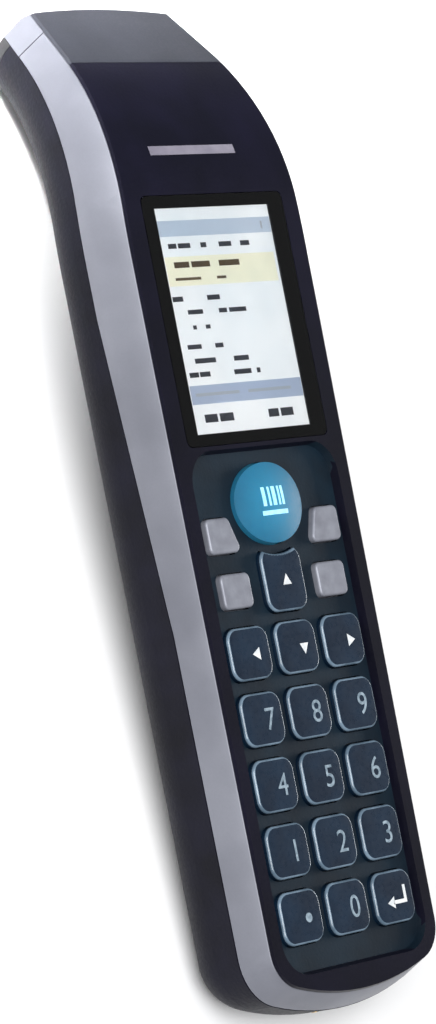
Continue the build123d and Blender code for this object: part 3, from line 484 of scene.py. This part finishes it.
# printed legends, which are to the right of the middle of each key
legendValues = {
    "inkThick": 0.03, "inkLift": 0.01, "dropFrom": 30.0, "mergeWithin": 0.001,
    "digitSize": 5.0, "shiftX": 1.5, "shiftY": -0.3, "arrowRadius": 1.15, "arrowShiftY": -0.2,
    "dotRadius": 0.75, "dotSides": 24}


def pressOnto(shape, nodeName):
    # lets a flat legend down onto its part, so that it lies on a crowned top as well
    surface = nodes[nodeName].data
    tree = BVHTree.FromPolygons([v.co for v in surface.vertices],
                                [p.vertices for p in surface.polygons])
    low = min(v.co.z for v in shape.verts)
    for vert in shape.verts:
        above = Vector((vert.co.x, vert.co.y, legendValues["dropFrom"] * mm))
        hit = tree.ray_cast(above, Vector((0, 0, -1)))[0]
        if hit:
            vert.co.z = hit.z + legendValues["inkLift"] * mm + (vert.co.z - low)


def printLegend(nodeName, shape, inkName):
    pressOnto(shape, nodeName)
    bmesh.ops.recalc_face_normals(shape, faces=shape.faces)
    mesh = meshFrom(nodeName + "_legend", shape, [inkName])
    addPiece(nodeName + "_legend", mesh, nodes[nodeName]["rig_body"])


def keyMiddle(nodeName):
    low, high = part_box(nodeName)
    return (low + high) / 2


def beside(middle, x, y):
    # the point x and y millimetres from the middle, at no height
    return middle.x + x * mm, middle.y + y * mm, 0


def addBar(shape, spot, size):
    # a flat bar round a spot, its width, height and thickness in millimetres
    scale = Matrix.Diagonal([side * mm for side in size] + [1])
    return bmesh.ops.create_cube(shape, size=1, matrix=Matrix.Translation(spot) @ scale)["verts"]


def addPrism(shape, sides, radius):
    return bmesh.ops.create_cone(shape, cap_ends=True, segments=sides, radius1=radius * mm,
                                 radius2=radius * mm, depth=legendValues["inkThick"] * mm)["verts"]


def turnFlat(shape, verts, degrees):
    bmesh.ops.rotate(shape, verts=verts, cent=(0, 0, 0),
                     matrix=Matrix.Rotation(math.radians(degrees), 3, "Z"))


for nodeName, digit in digitKeys.items():
    lettering = bpy.data.curves.new(nodeName + "_text", "FONT")
    lettering.body = digit
    lettering.size = legendValues["digitSize"] * mm
    lettering.extrude = legendValues["inkThick"] / 2 * mm
    lettering.align_x = "CENTER"
    lettering.align_y = "CENTER"
    holder = addObject(nodeName + "_text", lettering)
    bpy.context.view_layer.update()
    flat = bpy.data.meshes.new_from_object(holder)
    bpy.data.objects.remove(holder)
    shape = bmesh.new()
    shape.from_mesh(flat)
    bmesh.ops.remove_doubles(shape, verts=shape.verts, dist=legendValues["mergeWithin"] * mm)
    bmesh.ops.translate(shape, verts=shape.verts,
                        vec=beside(keyMiddle(nodeName), legendValues["shiftX"],
                                   legendValues["shiftY"]))
    printLegend(nodeName, shape, "padPrintedInk")

for nodeName, (turn, shiftX) in arrowKeys.items():
    shape = bmesh.new()
    addPrism(shape, 3, legendValues["arrowRadius"])
    turnFlat(shape, shape.verts, turn)
    bmesh.ops.translate(shape, verts=shape.verts,
                        vec=beside(keyMiddle(nodeName), shiftX, legendValues["arrowShiftY"]))
    printLegend(nodeName, shape, "whitePadInk")

shape = bmesh.new()
addPrism(shape, legendValues["dotSides"], legendValues["dotRadius"])
bmesh.ops.translate(shape, verts=shape.verts,
                    vec=beside(keyMiddle("key_dot"), legendValues["shiftX"],
                               legendValues["shiftY"]))
printLegend("key_dot", shape, "padPrintedInk")

# hooked arrow: a stem and its foot, each as (x, y, width, height) from the middle of the key,
# and a head that points back to the left
enterValues = {"bars": [(2.6, 0.5, 0.6, 2.2), (1.25, -0.9, 3.3, 0.6)],
               "headX": -0.7, "headY": -0.9, "headRadius": 1.1, "headTurn": 90}
middle = keyMiddle("key_enter")
shape = bmesh.new()
for x, y, width, height in enterValues["bars"]:
    addBar(shape, beside(middle, x, y), (width, height, legendValues["inkThick"]))
head = addPrism(shape, 3, enterValues["headRadius"])
turnFlat(shape, head, enterValues["headTurn"])
bmesh.ops.translate(shape, verts=head,
                    vec=beside(middle, enterValues["headX"], enterValues["headY"]))
printLegend("key_enter", shape, "whitePadInk")

# a plain printed bar across the head, above the display; cut up so that it can follow the face
headBar = {"x": -1.5, "y": 74.8, "width": 20.0, "height": 1.5, "cuts": 5}
shape = bmesh.new()
addBar(shape, (headBar["x"] * mm, headBar["y"] * mm, 0),
       (headBar["width"], headBar["height"], legendValues["inkThick"]))
bmesh.ops.subdivide_edges(shape, edges=shape.edges, cuts=headBar["cuts"], use_grid_fill=True)
printLegend("front_housing", shape, "silverPadInk")

# scan key: a beam under plain bars, each as (x, y, width, height) from the middle of the key
scanMark = {"bars": [(-2.1, 0.9, 0.7, 3.0), (-0.9, 0.9, 0.45, 3.0), (0.2, 0.9, 0.8, 3.0),
                     (1.4, 0.9, 0.45, 3.0), (2.3, 0.9, 0.6, 3.0), (0.1, -1.7, 6.0, 0.7)],
            "thick": 0.05, "cuts": 4}
middle = keyMiddle("key_scan")
shape = bmesh.new()
for x, y, width, height in scanMark["bars"]:
    addBar(shape, beside(middle, x, y), (width, height, scanMark["thick"]))
bmesh.ops.subdivide_edges(shape, edges=shape.edges, cuts=scanMark["cuts"], use_grid_fill=True)
printLegend("key_scan", shape, "glowingInk")
print("legends printed")

# display: edges of the visible area and the level of its picture in millimetres; its inks, each
# with a colour and a glow; and what it shows, in shares of the area from its top left corner
screenValues = {
    "left": -13.5, "right": 13.5, "top": 65.55, "bottom": 29.75,
    "level": 16.875, "rowLift": 0.03, "thick": 0.02,
    "inks": {"screenBlue": ("#b3c0d0", 0.5), "screenCream": ("#e9e7cf", 0.5),
             "screenSlate": ("#9dabc2", 0.5), "screenInk": ("#2f3440", 0.08),
             "screenBrown": ("#5a4628", 0.08), "screenGrey": ("#9aa2ad", 0.5)},
    # bands behind the rows: ink, left, right, top, bottom
    "bands": [("screenBlue", 0.0, 1.0, 0.055, 0.125), ("screenCream", 0.02, 0.98, 0.215, 0.345),
              ("screenSlate", 0.02, 1.0, 0.785, 0.868)],
    # rows of plain bars stand for the lines of a list: ink, middle, height, (from, to), ...
    "rows": [
        ("screenInk", 0.168, 0.022, (0.07, 0.14), (0.155, 0.26), (0.35, 0.40), (0.51, 0.62),
         (0.70, 0.78)),
        ("screenBrown", 0.252, 0.026, (0.09, 0.22), (0.24, 0.40), (0.48, 0.66)),
        ("screenBrown", 0.315, 0.012, (0.08, 0.30), (0.44, 0.52)),
        ("screenInk", 0.402, 0.022, (0.02, 0.11), (0.32, 0.43)),
        ("screenInk", 0.462, 0.020, (0.13, 0.26), (0.40, 0.47), (0.49, 0.64)),
        ("screenInk", 0.530, 0.018, (0.15, 0.18), (0.26, 0.30)),
        ("screenInk", 0.615, 0.020, (0.07, 0.19), (0.31, 0.38)),
        ("screenInk", 0.678, 0.022, (0.11, 0.29), (0.45, 0.58)),
        ("screenInk", 0.738, 0.022, (0.04, 0.12), (0.13, 0.22), (0.43, 0.58), (0.63, 0.66)),
        ("screenGrey", 0.826, 0.014, (0.06, 0.44), (0.52, 0.90)),
        ("screenInk", 0.932, 0.036, (0.10, 0.21), (0.23, 0.35), (0.66, 0.75), (0.77, 0.88)),
        ("screenGrey", 0.090, 0.034, (0.91, 0.925))]}
for name, (hexColour, glow) in screenValues["inks"].items():
    # liquid crystal lit from behind: each tint glows a little, over the fine grid of its pixels
    finishes[name] = makeFinish(name, {
        "colour": hexColour, "shade": hexColour, "rough": 0.35, "ior": 1.52, "glow": glow,
        "glowColour": hexColour, "grain": 0.3, "bump": 0.001, "drift": 1.0, "roughDrift": 0.05})


def screenBar(shape, ink, left, right, top, bottom, level):
    wide = screenValues["right"] - screenValues["left"]
    tall = screenValues["top"] - screenValues["bottom"]
    spot = ((screenValues["left"] + (left + right) / 2 * wide) * mm,
            (screenValues["top"] - (top + bottom) / 2 * tall) * mm, level * mm)
    size = ((right - left) * wide, (bottom - top) * tall, screenValues["thick"])
    for vert in addBar(shape, spot, size):
        for face in vert.link_faces:
            face.material_index = list(screenValues["inks"]).index(ink)


shape = bmesh.new()
for ink, left, right, top, bottom in screenValues["bands"]:
    screenBar(shape, ink, left, right, top, bottom, screenValues["level"])
for ink, middle, height, *spans in screenValues["rows"]:
    for left, right in spans:
        screenBar(shape, ink, left, right, middle - height / 2, middle + height / 2,
                  screenValues["level"] + screenValues["rowLift"])
addPiece("screen_image", meshFrom("screen_image", shape, screenValues["inks"]), "terminal")
print("display lit")

# stage: a pale board in millimetres, on which the terminal rests by its tail edge and the lip
# of its head
stageValues = {"side": 6000.0, "segments": 4, "tailY": -52.0, "headY": 92.24, "headZ": -10.83,
               "clear": 0.02}
lean = math.atan2(-stageValues["headZ"], stageValues["headY"] - stageValues["tailY"])
shape = bmesh.new()
bmesh.ops.create_grid(shape, x_segments=stageValues["segments"],
                      y_segments=stageValues["segments"], size=stageValues["side"] * mm / 2)
bmesh.ops.rotate(shape, verts=shape.verts, cent=(0, 0, 0), matrix=Matrix.Rotation(-lean, 3, "X"))
bmesh.ops.translate(shape, verts=shape.verts,
                    vec=(0, stageValues["tailY"] * mm, -stageValues["clear"] * mm))
board = addObject("stage_board", meshFrom("stage_board", shape, ["paleLaminate"]))

# lights: place, target and size in metres, spread in degrees and power in watts
lightValues = {
    # a narrow beam that brightens the side band at the head
    "headLight": {"place": (-0.50, 0.40, 0.40), "target": (-0.02, 0.148, -0.01), "size": 0.10,
                  "spread": 11, "power": 0.19},
    # low from the right, so that the far side doesn't go black
    "sideLight": {"place": (0.80, 0.00, 0.10), "target": (0.0, 0.02, 0.0), "size": 0.3,
                  "spread": 180, "power": 2.2},
    # large and soft from above
    "topLight": {"place": (-0.72, 0.05, 1.10), "target": (0.0, 0.0, 0.0), "size": 1.1,
                 "spread": 180, "power": 25.0}}
for name, values in lightValues.items():
    lamp = bpy.data.lights.new(name, "AREA")
    lamp.size = values["size"]
    lamp.spread = math.radians(values["spread"])
    lamp.energy = values["power"]
    holder = addObject(name, lamp)
    holder.location = values["place"]
    aim = Vector(values["target"]) - Vector(values["place"])
    holder.rotation_euler = aim.to_track_quat("-Z", "Y").to_euler()

studioValues = {"colour": "#f2f4f7", "strength": 0.25}
studio = bpy.data.worlds.new("studio")
bpy.context.scene.world = studio
studio.use_nodes = True
backdrop = studio.node_tree.nodes["Background"]
backdrop.inputs["Color"].default_value = toLinear(studioValues["colour"])
backdrop.inputs["Strength"].default_value = studioValues["strength"]
bpy.context.scene.view_settings.view_transform = "Standard"
print("lights on")

# camera: place and nearest visible distance in metres, turn in degrees, lens and sensor in mm
cameraValues = {"place": (-0.54344, -0.02948, 0.48581), "turn": (15.75412, -46.71620, -16.12254),
                "lens": 161.8, "sensor": 36, "nearest": 0.01}
lens = bpy.data.cameras.new("camera")
lens.sensor_width = cameraValues["sensor"]
lens.lens = cameraValues["lens"]
lens.clip_start = cameraValues["nearest"]
camera = addObject("camera", lens)
camera.location = cameraValues["place"]
camera.rotation_euler = [math.radians(angle) for angle in cameraValues["turn"]]
bpy.context.scene.camera = camera

bpy.context.view_layer.update()
